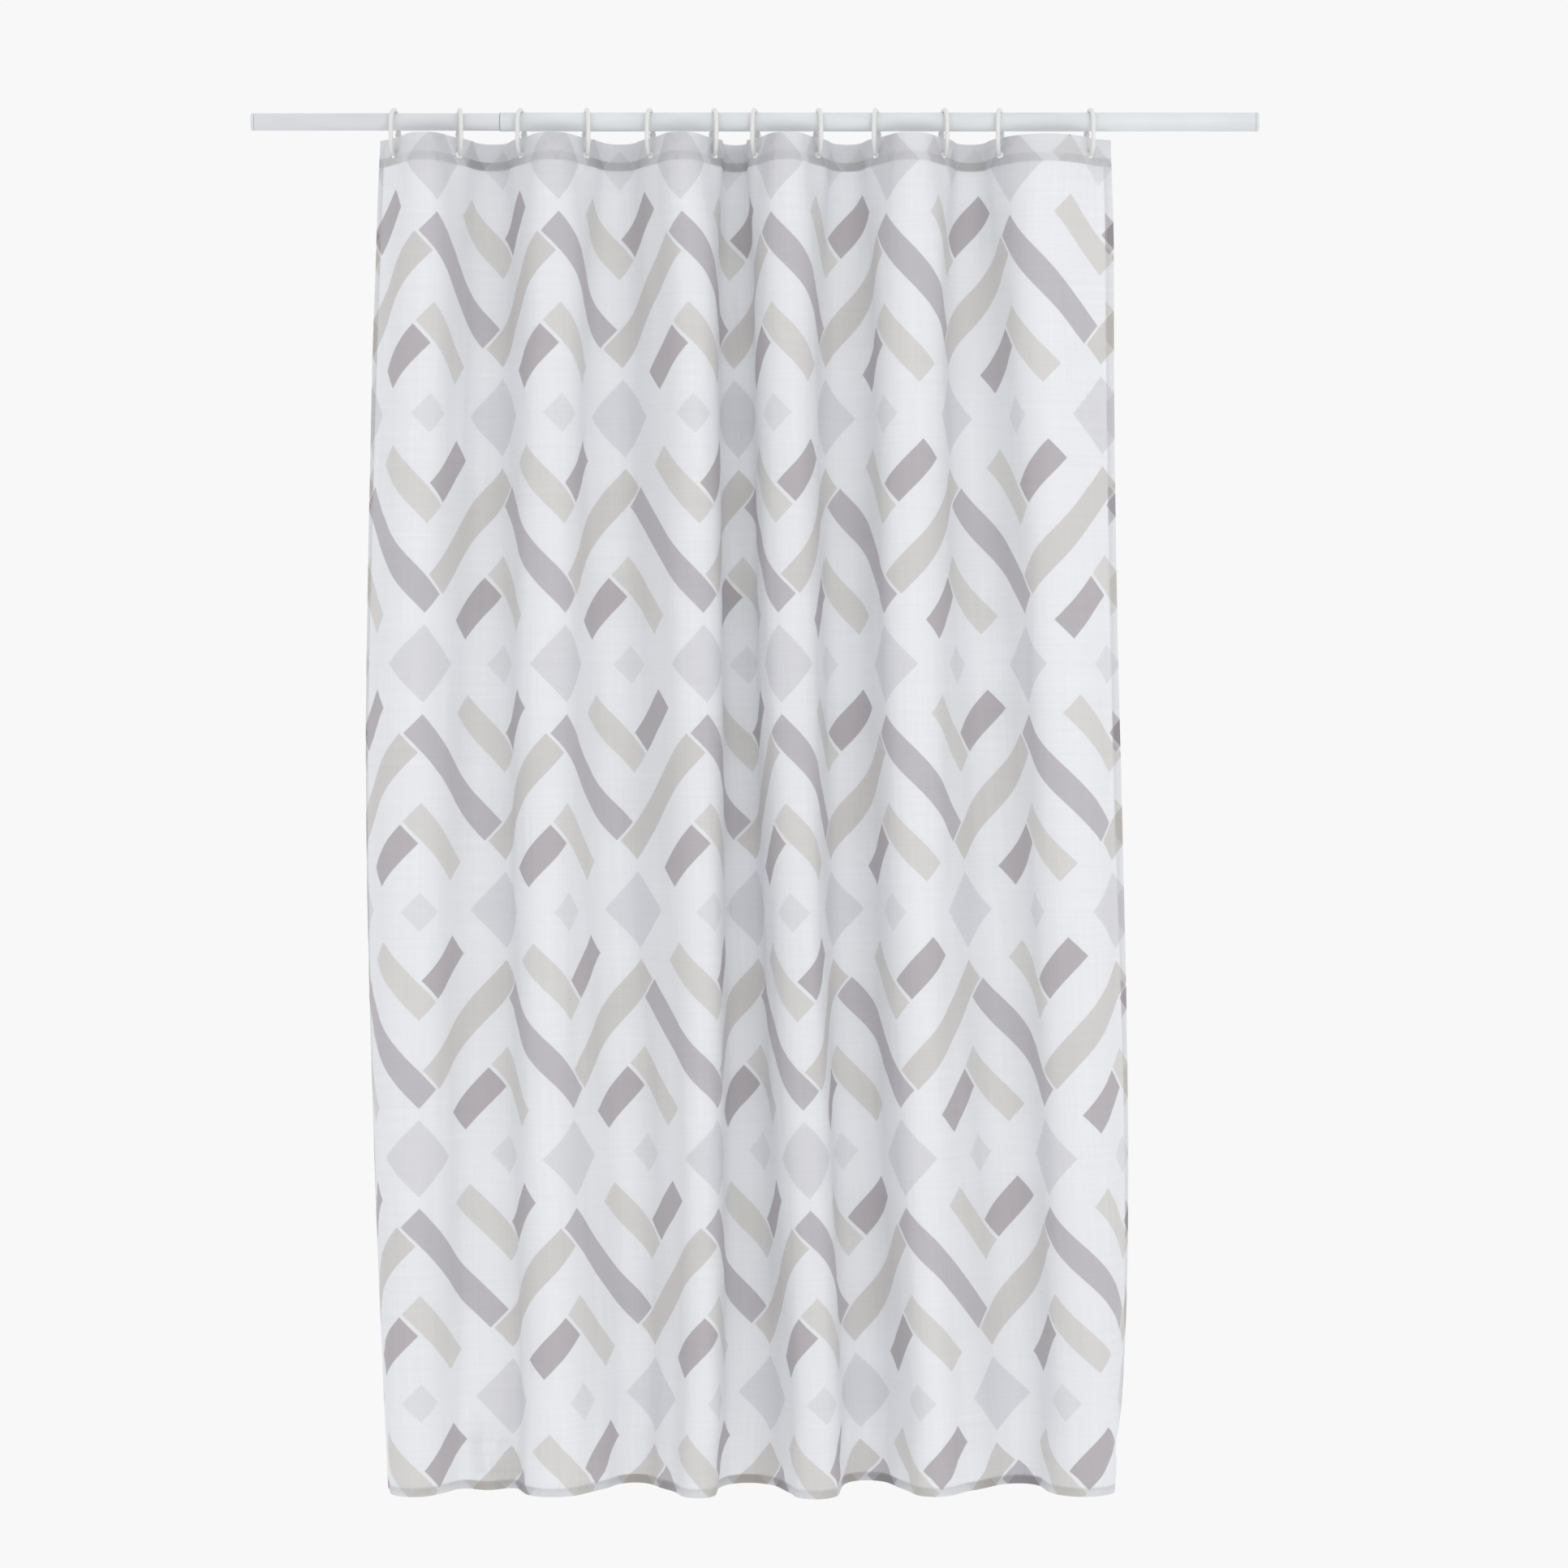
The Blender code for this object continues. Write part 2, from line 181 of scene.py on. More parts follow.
def powderCoatedSteel(name, paint, seed):
    # white powder coat: a satin skin with faint orange peel, and small grey rubs from the rings
    material, tree = newMaterial(name)
    place = addNode(tree, "ShaderNodeTexCoord").outputs["Object"]
    along = addNode(tree, "ShaderNodeMapping",
                    {"Vector": place, "Location": (seed, 0, 0), "Scale": (1, 3, 3)})
    scales = [1 / (steelTube[size] * mm) for size in ("cloudSize", "scuffSize", "peelSize")]
    cloud = addNode(tree, "ShaderNodeTexNoise",
                    {"Vector": along, "Scale": scales[0], "Detail": 3.0}).outputs["Fac"]
    cloud = addNode(tree, "ShaderNodeMapRange", (cloud, 0.35, 0.7, 0.0, 1.0))
    thin = [v * steelTube["shade"] for v in linear(paint)[:3]] + [1.0]
    colour = addNode(tree, "ShaderNodeMix", {"Factor": cloud, 6: linear(paint), 7: thin},
                     data_type="RGBA").outputs[2]
    rub = addNode(tree, "ShaderNodeTexNoise",
                  {"Vector": along, "Scale": scales[1], "Detail": 4.0, "Roughness": 0.7}).outputs["Fac"]
    rub = addNode(tree, "ShaderNodeMapRange", (rub, 0.69, 0.78, 0.0, 0.35))
    colour = addNode(tree, "ShaderNodeMix", {"Factor": rub, 6: colour, 7: linear(steelTube["scuff"])},
                     data_type="RGBA").outputs[2]
    peel = addNode(tree, "ShaderNodeTexNoise",
                   {"Vector": place, "Scale": scales[2], "Detail": 1.0}).outputs["Fac"]
    bump = addNode(tree, "ShaderNodeBump",
                   {"Height": peel, "Strength": 0.25, "Distance": steelTube["peelDepth"] * mm})
    smooth, dull = steelTube["roughness"] - 0.05, steelTube["roughness"] + 0.07
    gloss = addNode(tree, "ShaderNodeMapRange", (cloud, 0.0, 1.0, smooth, dull))
    skin = addNode(tree, "ShaderNodeBsdfPrincipled",
                   {"Base Color": colour, "Roughness": gloss, "Normal": bump, "IOR": 1.5})
    addNode(tree, "ShaderNodeOutputMaterial", {"Surface": skin})
    return material


def mouldedPlastic(name, colour, shade, roughness, grain, depth):
    # injection moulded part: even colour that clouds a little, with a fine tool texture
    material, tree = newMaterial(name)
    place = addNode(tree, "ShaderNodeTexCoord").outputs["Object"]
    cloudSize = 14 * mm
    cloud = addNode(tree, "ShaderNodeTexNoise",
                    {"Vector": place, "Scale": 1 / cloudSize, "Detail": 2.0}).outputs["Fac"]
    base = addNode(tree, "ShaderNodeMix", {"Factor": cloud, 6: linear(colour), 7: linear(shade)},
                   data_type="RGBA").outputs[2]
    fine = addNode(tree, "ShaderNodeTexNoise",
                   {"Vector": place, "Scale": 1 / (grain * mm), "Detail": 2.0}).outputs["Fac"]
    bump = addNode(tree, "ShaderNodeBump",
                   {"Height": fine, "Strength": 0.3, "Distance": depth * mm})
    gloss = addNode(tree, "ShaderNodeMapRange", (cloud, 0.3, 0.7, roughness - 0.04, roughness + 0.06))
    skin = addNode(tree, "ShaderNodeBsdfPrincipled",
                   {"Base Color": base, "Roughness": gloss, "Normal": bump, "IOR": 1.46})
    addNode(tree, "ShaderNodeOutputMaterial", {"Surface": skin})
    return material


def sewingThread(name, colour, shade):
    # spun polyester thread: soft sheen, light and dark plies too fine to model
    material, tree = newMaterial(name)
    place = addNode(tree, "ShaderNodeTexCoord").outputs["Object"]
    plySize = 0.5 * mm
    plies = addNode(tree, "ShaderNodeTexNoise",
                    {"Vector": place, "Scale": 1 / plySize, "Detail": 2.0}).outputs["Fac"]
    base = addNode(tree, "ShaderNodeMix", {"Factor": plies, 6: linear(colour), 7: linear(shade)},
                   data_type="RGBA").outputs[2]
    bump = addNode(tree, "ShaderNodeBump",
                   {"Height": plies, "Strength": 0.5, "Distance": 0.1 * mm})
    skin = addNode(tree, "ShaderNodeBsdfPrincipled",
                   {"Base Color": base, "Roughness": 0.55, "Normal": bump, "Sheen Weight": 0.2})
    addNode(tree, "ShaderNodeOutputMaterial", {"Surface": skin})
    return material


# the print, in mm on the flat cloth; every bar lies at 45 degrees
# a bar is (across, down, half length along \, half length along /) from a small diamond's middle
printing = {
    "repeatAcross": 298.5,
    "repeatDown": 656.0,
    "firstAcross": 137.5,     # a small diamond with the dark-topped chevron over it
    "firstDown": 363.0,
    "edge": 0.35,             # how softly the ink ends
    "smallDiamond": [(0, 0, 26, 26)],
    "largeDiamond": [(149.25, 0, 51.5, 51.5)],
    "smallBeige": [(27.5, -92.5, 79.5, 24.5), (-27.5, 92.5, 79.5, 24.5)],
    "smallDark": [(-44.5, -74.5, 25, 58), (44.5, 74.5, 25, 58)],
    "longDark": [(59.5, -177, 144, 25), (-59.5, 177, 144, 25)],
    "longBeige": [(-90.0, -151.5, 25.5, 144), (90.0, 151.5, 25.5, 144)],
}
inks = {
    "cloth": "#f5f6f8",
    "smallDiamond": "#ecedef",
    "largeDiamond": "#e9e9ec",
    "smallBeige": "#e7e6e4",
    "smallDark": "#cdc9cc",
    "longDark": "#d4d1d5",
    "longBeige": "#e3e1df",
}


def printGroup():
    # node group: mm across and mm down the flat cloth in, printed colour out
    tree = bpy.data.node_groups.new("printedChevrons", "ShaderNodeTree")
    for label in ("across", "down"):
        tree.interface.new_socket(label, in_out="INPUT", socket_type="NodeSocketFloat")
    tree.interface.new_socket("colour", in_out="OUTPUT", socket_type="NodeSocketColor")
    given = addNode(tree, "NodeGroupInput")
    halfAcross, halfDown = printing["repeatAcross"] / 2, printing["repeatDown"] / 2
    edge = printing["edge"]
    colour = linear(inks["cloth"])
    for ink in ("smallDiamond", "largeDiamond", "longBeige", "longDark", "smallBeige", "smallDark"):
        gap = None
        for across, down, alongFall, alongRise in printing[ink]:
            middle = (printing["firstAcross"] + across, printing["firstDown"] + down)
            u, v = [addNode(tree, "ShaderNodeMath", (given.outputs[k], middle[k]), operation="SUBTRACT")
                    for k in (0, 1)]
            if ink.startswith("long"):
                v = addNode(tree, "ShaderNodeMath", (v, halfDown, -halfDown), operation="WRAP")
            else:
                # half-drop: each next row of small shapes stands half a repeat further on
                row = addNode(tree, "ShaderNodeMath", (v, halfDown), operation="DIVIDE")
                row = addNode(tree, "ShaderNodeMath", (row,), operation="ROUND")
                drop = addNode(tree, "ShaderNodeMath", (row, halfDown), operation="MULTIPLY")
                shift = addNode(tree, "ShaderNodeMath", (row, halfAcross), operation="MULTIPLY")
                v = addNode(tree, "ShaderNodeMath", (v, drop), operation="SUBTRACT")
                u = addNode(tree, "ShaderNodeMath", (u, shift), operation="SUBTRACT")
            u = addNode(tree, "ShaderNodeMath", (u, halfAcross, -halfAcross), operation="WRAP")
            # how far outside the bar a point lies, along each of the two 45 degree directions
            reaches = []
            for pair, turn, half in (((u, v), "ADD", alongFall), ((v, u), "SUBTRACT", alongRise)):
                reach = addNode(tree, "ShaderNodeMath", pair, operation=turn)
                reach = addNode(tree, "ShaderNodeMath", (reach,), operation="ABSOLUTE")
                reaches.append(addNode(tree, "ShaderNodeMath", (reach, half), operation="SUBTRACT"))
            outside = addNode(tree, "ShaderNodeMath", reaches, operation="MAXIMUM")
            if gap is not None:
                outside = addNode(tree, "ShaderNodeMath", (gap, outside), operation="MINIMUM")
            gap = outside
        inked = addNode(tree, "ShaderNodeMapRange", (gap, -edge, edge, 1.0, 0.0))
        colour = addNode(tree, "ShaderNodeMix", {"Factor": inked, 6: colour, 7: linear(inks[ink])},
                         data_type="RGBA").outputs[2]
    addNode(tree, "NodeGroupOutput", (colour,))
    return tree


clothFinish = {
    "threadPitch": 1.1,      # mm; the real threads lie 0.3 mm apart, drawn coarser so that they show
    "threadDepth": 0.05,
    "slub": 0.018,           # how much thicker threads lighten and darken the weave
    "slubWidth": 4.0,        # mm
    "slubLength": 166.7,
    "through": 0.42,         # share of light that the cloth lets through
    "roughness": 0.62,
    "backPrint": 0.6,        # how strong the print is on the cloth's back
    "ghostNear": 0.25,       # how strongly the top hem's outer ply shows through the front
    "ghostTurned": 0.4,      # how strongly the raw edge turned under in the top hem does
    "ghostNarrow": 0.75,     # and the narrow hems' plies
    "shadeOnCrests": 0.3,       # share of the hem bands' painted shade kept where a fold comes forward; where it goes back into a hollow, all
    "ply": 0.86,             # what is left of the light through a hem's plies, painted in as shade on the front
    "rollLoss": 5.5,         # mm of print lost where the raw edge rolls under
}


def printedVoile(name, chevrons, side):
    # printed polyester voile: thin plain weave, a little see-through, satin where light grazes it
    # the plies of a hem are painted onto the front as see-through shade, darker where the cloth goes back
    # into a fold, and the print shows paler on the back
    material, tree = newMaterial(name)
    flat = addNode(tree, "ShaderNodeUVMap", uv_map="flat")
    parts = addNode(tree, "ShaderNodeSeparateXYZ", (flat,))
    width, length = curtain["width"] / mm, curtain["drop"] / mm
    across = addNode(tree, "ShaderNodeMath", (parts.outputs[0], width), operation="MULTIPLY")
    down = addNode(tree, "ShaderNodeMath", (1.0, parts.outputs[1]), operation="SUBTRACT")
    down = addNode(tree, "ShaderNodeMath", (down, length), operation="MULTIPLY")
    plain = linear(inks["cloth"])

    def inked(u, v, strength):
        group = addNode(tree, "ShaderNodeGroup", (u, v), node_tree=chevrons)
        return addNode(tree, "ShaderNodeMix", {"Factor": strength, 6: plain, 7: group},
                       data_type="RGBA").outputs[2]

    def within(value, low, high):
        above = addNode(tree, "ShaderNodeMath", (value, low), operation="GREATER_THAN")
        below = addNode(tree, "ShaderNodeMath", (value, high), operation="LESS_THAN")
        return addNode(tree, "ShaderNodeMath", (above, below), operation="MULTIPLY")

    def ghost(colour, where, u, v, strength):
        # a hidden ply's print, multiplied into the colour where that ply lies, as painted see-through
        # shade
        tone = addNode(tree, "ShaderNodeMix", {"Factor": 1.0, 6: inked(u, v, strength), 7: plain},
                       data_type="RGBA", blend_type="DIVIDE").outputs[2]
        return addNode(tree, "ShaderNodeMix", {"Factor": where, 6: colour, 7: tone},
                       data_type="RGBA", blend_type="MULTIPLY").outputs[2]

    def mirrored(value, edge):
        # a place on a ply that was turned over at that edge
        return addNode(tree, "ShaderNodeMath", (2 * edge, value), operation="SUBTRACT")

    colour = inked(across, down, clothFinish["backPrint"] if side == "back" else 1.0)
    if side == "front":
        topHem, bottomHem = curtain["topHem"] / mm, curtain["bottomHem"] / mm
        sideHem, turned = curtain["sideHem"] / mm, curtain["topTurn"] / mm
        near, faint, deep = [clothFinish[ply] for ply in ("ghostNear", "ghostTurned", "ghostNarrow")]
        past = 9.0            # mm beyond the cloth's edges, to take in all of the rim
        top = within(down, -past, topHem)
        strip = within(down, topHem - turned, topHem)
        bottom = within(down, length - bottomHem, length + past)
        left = within(across, -past, sideHem)
        right = within(across, width - sideHem, width + past)
        fold = addNode(tree, "ShaderNodeAttribute", attribute_name="fold").outputs["Fac"]
        # painted shade: the turned strip and the bottom hem darken fully where the cloth goes back into a
        # fold's hollow, and less on the crests
        valleyShade = addNode(tree, "ShaderNodeMapRange", (fold, 0.35, 0.75, clothFinish["shadeOnCrests"], 1.0))
        strip = addNode(tree, "ShaderNodeMath", (strip, valleyShade), operation="MULTIPLY")
        bottom = addNode(tree, "ShaderNodeMath", (bottom, valleyShade), operation="MULTIPLY")
        hidden = 2 * topHem - clothFinish["rollLoss"]
        under = addNode(tree, "ShaderNodeMath", (down, hidden), operation="SUBTRACT")
        colour = ghost(colour, top, across, mirrored(down, 0.0), near)
        colour = ghost(colour, strip, across, under, faint)
        colour = ghost(colour, bottom, across, mirrored(down, length), deep)
        colour = ghost(colour, left, mirrored(across, 0.0), down, deep)
        colour = ghost(colour, right, mirrored(across, width), down, deep)
        # painted shade: what the extra plies hold back of the light through the hem bands
        hems = addNode(tree, "ShaderNodeMath", (strip, bottom), operation="MAXIMUM")
        dimmed = [clothFinish["ply"]] * 3 + [1.0]
        colour = addNode(tree, "ShaderNodeMix", {"Factor": hems, 6: colour, 7: dimmed},
                         data_type="RGBA", blend_type="MULTIPLY").outputs[2]

    # warp and weft: two fine sine ribs, and slubs that run along each
    turns = 2 * math.pi / clothFinish["threadPitch"]
    fine, long = 1 / clothFinish["slubWidth"], 1 / clothFinish["slubLength"]
    ribs, slubs = [], []
    for run, stretch in ((across, (fine, long, 1)), (down, (long, fine, 1))):
        angle = addNode(tree, "ShaderNodeMath", (run, turns), operation="MULTIPLY")
        ribs.append(addNode(tree, "ShaderNodeMath", (angle,), operation="SINE"))
        place = addNode(tree, "ShaderNodeCombineXYZ", (across, down))
        place = addNode(tree, "ShaderNodeMapping", {"Vector": place, "Scale": stretch})
        slubs.append(addNode(tree, "ShaderNodeTexNoise",
                             {"Vector": place, "Scale": 1.0, "Detail": 2.0}).outputs["Fac"])
    weave = addNode(tree, "ShaderNodeMath", ribs, operation="MULTIPLY")
    slub = addNode(tree, "ShaderNodeMath", slubs, operation="ADD")
    dark, light = 1 - clothFinish["slub"], 1 + clothFinish["slub"]
    tone = addNode(tree, "ShaderNodeMapRange", (slub, 0.7, 1.3, dark, light))
    tone = addNode(tree, "ShaderNodeCombineColor", (tone, tone, tone))
    colour = addNode(tree, "ShaderNodeMix", {"Factor": 1.0, 6: colour, 7: tone},
                     data_type="RGBA", blend_type="MULTIPLY").outputs[2]
    weave = addNode(tree, "ShaderNodeMath", (weave, 0.5), operation="MULTIPLY")
    height = addNode(tree, "ShaderNodeMath", (slub, 0.8, weave), operation="MULTIPLY_ADD")
    bump = addNode(tree, "ShaderNodeBump",
                   {"Height": height, "Strength": 0.4, "Distance": clothFinish["threadDepth"] * mm})
    body = addNode(tree, "ShaderNodeBsdfPrincipled",
                   {"Base Color": colour, "Roughness": clothFinish["roughness"], "Normal": bump,
                    "Sheen Weight": 0.12, "Sheen Roughness": 0.4, "Specular IOR Level": 0.3})
    glow = addNode(tree, "ShaderNodeBsdfTranslucent", {"Color": colour, "Normal": bump})
    cloth = addNode(tree, "ShaderNodeMixShader", (clothFinish["through"], body, glow))
    addNode(tree, "ShaderNodeOutputMaterial", {"Surface": cloth})
    return material


studio = {
    "eye": (-0.630, -5.599, -0.811),   # square to the rod, at about half the curtain's height
    "lookDown": 0.7,                   # degrees
    "lens": 96.6,
    "sensor": 36.0,
    "middle": (-0.67, 0.0, -0.9),      # of the object
    "floorBelowHem": 0.18,
    "floorSize": 60.0,
    "pale": "#f8f8f8",
    "keyPower": 26.0,
    "keySize": 2.2,
    "keyFrom": (1.3, -4.2, 0.2),
}

cameraData = bpy.data.cameras.new("frontCamera")
cameraData.lens = studio["lens"]
cameraData.sensor_width = studio["sensor"]
camera = linked("frontCamera", cameraData)
camera.location = studio["eye"]
camera.rotation_euler = (math.radians(90 - studio["lookDown"]), 0, 0)
bpy.context.scene.camera = camera
bpy.context.scene.view_settings.view_transform = "Standard"   # white stays white


def makeFloor():
    # a wide pale sheet of paper, a little self-lit so that it meets the backdrop without a line
    deselectAll()
    z = cadLow[2] - studio["floorBelowHem"]
    bpy.ops.mesh.primitive_plane_add(size=studio["floorSize"], location=(studio["middle"][0], 0, z))
    floor = newest("studioFloor")
    settle(floor)
    material, tree = newMaterial("paleStudioPaper")
    glow = addNode(tree, "ShaderNodeEmission", {"Color": linear(studio["pale"])})
    addNode(tree, "ShaderNodeOutputMaterial", {"Surface": glow})
    dress(floor, material)


def makeLight():
    world = bpy.context.scene.world or bpy.data.worlds.new("studio")
    bpy.context.scene.world = world
    world.use_nodes = True
    tree = world.node_tree
    tree.nodes.clear()
    sky = addNode(tree, "ShaderNodeBackground", {"Color": linear(studio["pale"]), "Strength": 1.0})
    addNode(tree, "ShaderNodeOutputWorld", {"Surface": sky})
    lamp = bpy.data.lights.new("softKey", "AREA")
    lamp.shape = "DISK"
    lamp.size = studio["keySize"]
    lamp.energy = studio["keyPower"]
    key = linked("softKey", lamp)
    key.location = studio["keyFrom"]
    aim = Vector(studio["middle"]) - key.location
    key.rotation_euler = aim.to_track_quat("-Z", "Y").to_euler()


makeFloor()
makeLight()
print("studio ready")

rod = {                   # lengths in mm
    "sides": 96,
    "wall": 0.8,
    "lipLength": 0.9,
    "lipDrop": 0.35,      # how far the rolled mouth turns in
    "plainDrop": 0.12,    # and a plain cut end
    "mouthShadeWidth": 0.8,      # at the outer tube's rolled mouth, painted dark grey as shade
    "padThickness": 4.0,
    "padRound": 0.35,
    "padGroove": 0.5,
    "padRib": 1.4,
    "ribSlope": 0.25,
    "outerSpigot": 9.8,   # radius of the part of a pad that plugs its tube
    "innerSpigot": 9.0,
}


def makeTube(name, node, look, lipAtLow):
    # painted tube along X: an open cylinder, its mouth rolled in, then given its wall
    low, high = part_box(node)
    radius = (high[2] - low[2]) / 2
    deselectAll()
    bpy.ops.mesh.primitive_cylinder_add(
        vertices=rod["sides"], radius=radius, depth=high[0] - low[0], end_fill_type="NOTHING",
        location=((low[0] + high[0]) / 2, 0, 0), rotation=(0, math.pi / 2, 0))
    tube = newest(name)
    settle(tube)
    ends = (low[0], high[0]) if lipAtLow else (low[0],)
    for end in ends:
        # pull the end loop back, then roll it in over two short steps
        way = 1 if end == low[0] else -1
        roll = rod["lipLength"] * mm
        drop = rod["lipDrop" if lipAtLow and end == low[0] else "plainDrop"] * mm
        pick(tube, "EDGE", lambda c: abs(c.x - end) < 1e-5)
        bpy.ops.transform.translate(value=(way * roll, 0, 0))
        for share, turn in ((0.6, 0.35), (0.4, 1.0)):
            bpy.ops.mesh.extrude_region_move(
                TRANSFORM_OT_translate={"value": (-way * roll * share, 0, 0)})
            size = 1 - drop * turn / radius
            bpy.ops.transform.resize(value=(1, size, size), center_override=(end, 0, 0))
    bpy.ops.object.mode_set(mode="OBJECT")
    applyModifier(tube, "SOLIDIFY", thickness=rod["wall"] * mm, offset=-1, use_even_offset=True)
    smoothByAngle(tube, 50)
    dress(tube, *look)
    # the faces at the rolled mouth take the second material, a dark grey that paints in shade
    for face in tube.data.polygons:
        if len(look) > 1 and face.center.x < low[0] + rod["mouthShadeWidth"] * mm:
            face.material_index = 1
    return tube


def makePad(name, node, look, outward, spigot):
    # soft end pad: a disc with a rounded rim and grip grooves, on a spigot in the tube
    low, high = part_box(node)
    radius = (high[2] - low[2]) / 2
    face = high[0] if outward > 0 else low[0]
    thick = rod["padThickness"] * mm
    spigotLength = high[0] - low[0] - thick
    deselectAll()
    bpy.ops.mesh.primitive_cylinder_add(
        vertices=rod["sides"], radius=radius, depth=thick,
        location=(face - outward * thick / 2, 0, 0), rotation=(0, math.pi / 2, 0))
    pad = newest(name)
    settle(pad)
    back = face - outward * thick
    pick(pad, "FACE", lambda c: abs(c.x - back) < 1e-5)
    bpy.ops.mesh.inset(thickness=radius - spigot * mm, use_even_offset=True)
    bpy.ops.mesh.extrude_region_move(
        TRANSFORM_OT_translate={"value": (-outward * spigotLength, 0, 0)})
    pick(pad, "FACE", lambda c: abs(c.x - face) < 1e-5)
    for k in range(3):
        bpy.ops.mesh.inset(thickness=rod["padRib"] * mm, use_even_offset=True)
        bpy.ops.mesh.inset(thickness=rod["ribSlope"] * mm, use_even_offset=True)
        depth = rod["padGroove"] * mm * (1 if k % 2 == 0 else -1)
        bpy.ops.transform.translate(value=(-outward * depth, 0, 0))
    bpy.ops.object.mode_set(mode="OBJECT")
    applyModifier(pad, "BEVEL", width=rod["padRound"] * mm, segments=3, limit_method="ANGLE",
                  angle_limit=math.radians(40))
    smoothByAngle(pad, 40)
    dress(pad, look)
    return pad


outerPaint = powderCoatedSteel("powderCoatedSteelOuter", "#e0e3e5", 0.0)
innerPaint = powderCoatedSteel("powderCoatedSteelInner", "#dddee1", 3.7)
softPvc = mouldedPlastic("mouldedSoftPvc", "#dcdee1", "#d6d8db", 0.5, 0.8, 0.03)
# a dark grey painted shade for the outer tube's rolled mouth
mouthShade = powderCoatedSteel("paintedShadeAtMouth", "#85888a", 1.3)
outerTube = makeTube("painted_outer_tube", "outer_tube", (outerPaint, mouthShade), True)
innerTube = makeTube("painted_inner_tube", "inner_tube", (innerPaint,), False)
rightPad = makePad("right_rubber_pad", "right_end_pad", softPvc, 1, rod["outerSpigot"])
leftPad = makePad("left_rubber_pad", "left_end_pad", softPvc, -1, rod["innerSpigot"])
for piece, node, body, slot in ((outerTube, "outer_tube", "rod", "rod_paint"),
                                (rightPad, "right_end_pad", "rod", "end_rubber"),
                                (innerTube, "inner_tube", "inner_rod", "rod_paint"),
                                (leftPad, "left_end_pad", "inner_rod", "end_rubber")):
    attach(piece, body)
    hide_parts(node)
lockNylon = mouldedPlastic("mouldedGreyNylon", "#8c8f94", "#83868b", 0.45, 0.6, 0.02)
camAcetal = mouldedPlastic("mouldedWhiteAcetal", "#e4e5e3", "#dcdddb", 0.4, 0.6, 0.02)
dress(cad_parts["lock_core"], lockNylon)
dress(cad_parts["lock_cam"], camAcetal)
print("rod ready")

ring = {
    "cord": 3.0,          # mm, radius
    "bend": 20.0,         # mm, radius of the end arcs' centreline
    "turn": 9.0,          # degrees, how a ring turns towards square with the cloth
    "collar": 1.14,       # the snap joint's sleeve over the cord's thickness
    "collarHalf": 4.6,
    "joint": 0.35,        # mm, half of the sunk line where the snap closes
}


def makeRingMould():
    # one ring in its own YZ plane: a torus drawn out into an oval, with a snap sleeve at its back
    low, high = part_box("ring_01")
    height = high[2] - low[2]
    bend, cord = ring["bend"] * mm, ring["cord"] * mm
    straight = height - 2 * (bend + cord)
    top = high[2] - bend - cord
    deselectAll()
    bpy.ops.mesh.primitive_torus_add(
        location=(0, 0, top), rotation=(0, math.pi / 2, 0), major_radius=bend, minor_radius=cord,
        major_segments=48, minor_segments=18)
    mould = newest("ringMould")
    settle(mould)
    pick(mould, "FACE", lambda c: c.z < top - 1e-6)
    bpy.ops.mesh.extrude_region_move(TRANSFORM_OT_translate={"value": (0, 0, -straight)})
    middle = top - straight / 2
    half, joint = ring["collarHalf"] * mm, ring["joint"] * mm
    # loops across the back's straight run, then each scaled about the cord's middle
    steps = ((half, 1.0), (half - 0.5 * mm, ring["collar"]), (joint + 0.3 * mm, ring["collar"]),
             (joint, ring["collar"] - 0.06), (joint / 3, 0.95))
    for offset, size in steps:
        for way in (1, -1):
            pick(mould, "FACE", lambda c: c.y > 0 and abs(c.z - middle) < straight / 2)
            bpy.ops.mesh.bisect(plane_co=(0, bend, middle + way * offset), plane_no=(0, 0, 1))
            level = middle + way * offset
            pick(mould, "EDGE", lambda c: c.y > 0 and abs(c.z - level) < 1e-5)
            bpy.ops.transform.resize(value=(size, size, 1), center_override=(0, bend, level))
    bpy.ops.object.mode_set(mode="OBJECT")
    smoothByAngle(mould, 60)
    return mould


def makeRings():
    mould = makeRingMould()
    look = mouldedPlastic("mouldedPolystyrene", "#e6e6e4", "#dededc", 0.24, 1.2, 0.01)
    dress(mould, look)
    made = []
    for i, (name, x) in enumerate(zip(ringNames, ringX)):
        turn = math.radians(ring["turn"] if i % 2 else -ring["turn"])
        mesh = mould.data.copy()
        mesh.transform(Matrix.Translation((x, 0, 0)) @ Matrix.Rotation(turn, 4, "Z"))
        piece = linked("curtain_" + name, mesh)
        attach(piece, name)
        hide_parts(name)
        made.append(piece)
    bpy.data.objects.remove(mould)
    return made


rings = makeRings()
print("rings ready")

curtain = {                # lengths in m
    "width": 1.800,
    "drop": 1.800,
    "thickness": 0.0005,
    "plyThickness": 0.0003,
    "edgeMargin": 0.036,
    "headMargin": 0.0218,
    "topHem": 0.0355,
    "topTurn": 0.0115,     # how far the top hem's raw edge is turned under
    "bottomHem": 0.012,
    "sideHem": 0.012,
    "narrowTurn": 0.006,   # and the narrow hems'
    "plyBehind": 0.00090,  # from the panel back to a hem's outer ply
    "turnedBehind": 0.00045,
    "holeWidth": 0.015,
    "holeHeight": 0.0076,
    "gapColumns": 32,
    "edgeColumns": 8,
    "foldDepth": 0.12,     # from the foremost folds to the rearmost
    "sag": 0.008,          # how much lower the middle hangs, stretched by the weight below it
    "unevenness": 0.0013,  # how far the cloth strays from its smooth folds
    "pucker": 0.00035,     # how deep the seams draw the cloth in
}
